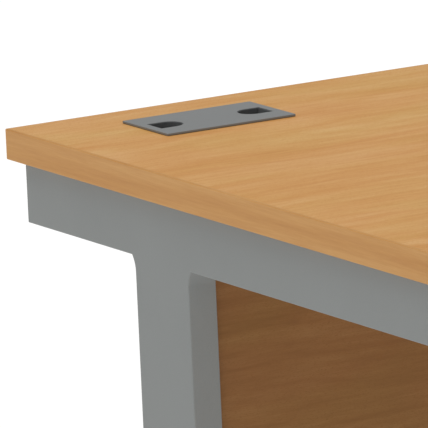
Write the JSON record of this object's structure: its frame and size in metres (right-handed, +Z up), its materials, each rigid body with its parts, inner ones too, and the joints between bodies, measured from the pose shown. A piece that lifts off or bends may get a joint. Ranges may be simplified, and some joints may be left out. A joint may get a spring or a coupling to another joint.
{
  "type": "teacher desk",
  "caption": "Cantilever desk with a beech worktop on grey steel legs, a modesty panel, cross rails, cable ports with slotted covers, and levelling feet.",
  "frame": {"origin": "on the floor, under the middle of the worktop", "axes": "+X along the desk to the seated user's right, +Y to the rear, +Z up"},
  "size_m": [1.4, 0.8, 0.7321],
  "materials": {
    "beech_board": "satin beech-effect melamine on particle board, fine straight grain along the desk",
    "beech_edging": "satin beech-effect ABS edging",
    "grey_steel": "fine matt powder coat, mid grey",
    "grey_plastic": "matt moulded plastic, mid grey",
    "dark_plastic": "matt moulded plastic, charcoal",
    "zinc_steel": "bright zinc plate"
  },
  "bodies": {
    "root": {"worktop": "beech_board", "edge_band_front": "beech_edging", "edge_band_rear": "beech_edging", "edge_band_left": "beech_edging", "edge_band_right": "beech_edging", "modesty_panel": "beech_board", "modesty_band_top": "beech_edging", "modesty_band_bottom": "beech_edging", "leg_frame_left": "grey_steel", "leg_frame_right": "grey_steel", "rail_front": "grey_steel", "rail_rear": "grey_steel", "arm_cap_left_front": "grey_plastic", "arm_cap_left_rear": "grey_plastic", "foot_cap_left_front": "grey_plastic", "foot_cap_left_rear": "grey_plastic", "arm_cap_right_front": "grey_plastic", "arm_cap_right_rear": "grey_plastic", "foot_cap_right_front": "grey_plastic", "foot_cap_right_rear": "grey_plastic", "port_liner_left": "dark_plastic", "port_liner_right": "dark_plastic", "bracket_left_upper": "zinc_steel", "bracket_bolt_upper_left": "zinc_steel", "bracket_left_lower": "zinc_steel", "bracket_bolt_lower_left": "zinc_steel", "rail_bolt_front_1_left": "zinc_steel", "rail_bolt_front_2_left": "zinc_steel", "rail_bolt_rear_1_left": "zinc_steel", "rail_bolt_rear_2_left": "zinc_steel", "top_screw_left_front": "zinc_steel", "top_screw_left_middle": "zinc_steel", "top_screw_left_rear": "zinc_steel", "bracket_right_upper": "zinc_steel", "bracket_bolt_upper_right": "zinc_steel", "bracket_right_lower": "zinc_steel", "bracket_bolt_lower_right": "zinc_steel", "rail_bolt_front_1_right": "zinc_steel", "rail_bolt_front_2_right": "zinc_steel", "rail_bolt_rear_1_right": "zinc_steel", "rail_bolt_rear_2_right": "zinc_steel", "top_screw_right_front": "zinc_steel", "top_screw_right_middle": "zinc_steel", "top_screw_right_rear": "zinc_steel", "rail_screw_front": "zinc_steel", "rail_screw_rear": "zinc_steel", "foot_insert_front_left": "zinc_steel", "foot_insert_rear_left": "zinc_steel", "foot_insert_front_right": "zinc_steel", "foot_insert_rear_right": "zinc_steel"},
    "cover_left": {"port_cover_left": "grey_steel"},
    "cover_right": {"port_cover_right": "grey_steel"},
    "pad_front_left": {"foot_pad_front_left": "dark_plastic"},
    "stud_front_left": {"foot_stud_front_left": "zinc_steel"},
    "pad_rear_left": {"foot_pad_rear_left": "dark_plastic"},
    "stud_rear_left": {"foot_stud_rear_left": "zinc_steel"},
    "pad_front_right": {"foot_pad_front_right": "dark_plastic"},
    "stud_front_right": {"foot_stud_front_right": "zinc_steel"},
    "pad_rear_right": {"foot_pad_rear_right": "dark_plastic"},
    "stud_rear_right": {"foot_stud_rear_right": "zinc_steel"}
  },
  "joints": [
    {"name": "port_cover_left_lift", "type": "slide", "parent": "root", "child": "cover_left", "axis": [0, 0, 1], "range_m": [0, 0.06]},
    {"name": "port_cover_right_lift", "type": "slide", "parent": "root", "child": "cover_right", "axis": [0, 0, 1], "range_m": [0, 0.06]},
    {"name": "foot_front_left_travel", "type": "slide", "parent": "root", "child": "pad_front_left", "axis": [0, 0, -1], "range_m": [0, 0.015]},
    {"name": "foot_front_left_turn", "type": "hinge", "parent": "pad_front_left", "child": "stud_front_left", "pos_m": [-0.6765, -0.305, 0], "axis": [0, 0, -1], "range_deg": [0, 4320]},
    {"name": "foot_rear_left_travel", "type": "slide", "parent": "root", "child": "pad_rear_left", "axis": [0, 0, -1], "range_m": [0, 0.015]},
    {"name": "foot_rear_left_turn", "type": "hinge", "parent": "pad_rear_left", "child": "stud_rear_left", "pos_m": [-0.6765, 0.354, 0], "axis": [0, 0, -1], "range_deg": [0, 4320]},
    {"name": "foot_front_right_travel", "type": "slide", "parent": "root", "child": "pad_front_right", "axis": [0, 0, -1], "range_m": [0, 0.015]},
    {"name": "foot_front_right_turn", "type": "hinge", "parent": "pad_front_right", "child": "stud_front_right", "pos_m": [0.6765, -0.305, 0], "axis": [0, 0, -1], "range_deg": [0, 4320]},
    {"name": "foot_rear_right_travel", "type": "slide", "parent": "root", "child": "pad_rear_right", "axis": [0, 0, -1], "range_m": [0, 0.015]},
    {"name": "foot_rear_right_turn", "type": "hinge", "parent": "pad_rear_right", "child": "stud_rear_right", "pos_m": [0.6765, 0.354, 0], "axis": [0, 0, -1], "range_deg": [0, 4320]}
  ],
  "couplings": [
    {"joint": "foot_front_left_travel", "follows": "foot_front_left_turn", "m_per_rad": 0.00019894},
    {"joint": "foot_rear_left_travel", "follows": "foot_rear_left_turn", "m_per_rad": 0.00019894},
    {"joint": "foot_front_right_travel", "follows": "foot_front_right_turn", "m_per_rad": 0.00019894},
    {"joint": "foot_rear_right_travel", "follows": "foot_rear_right_turn", "m_per_rad": 0.00019894}
  ]
}
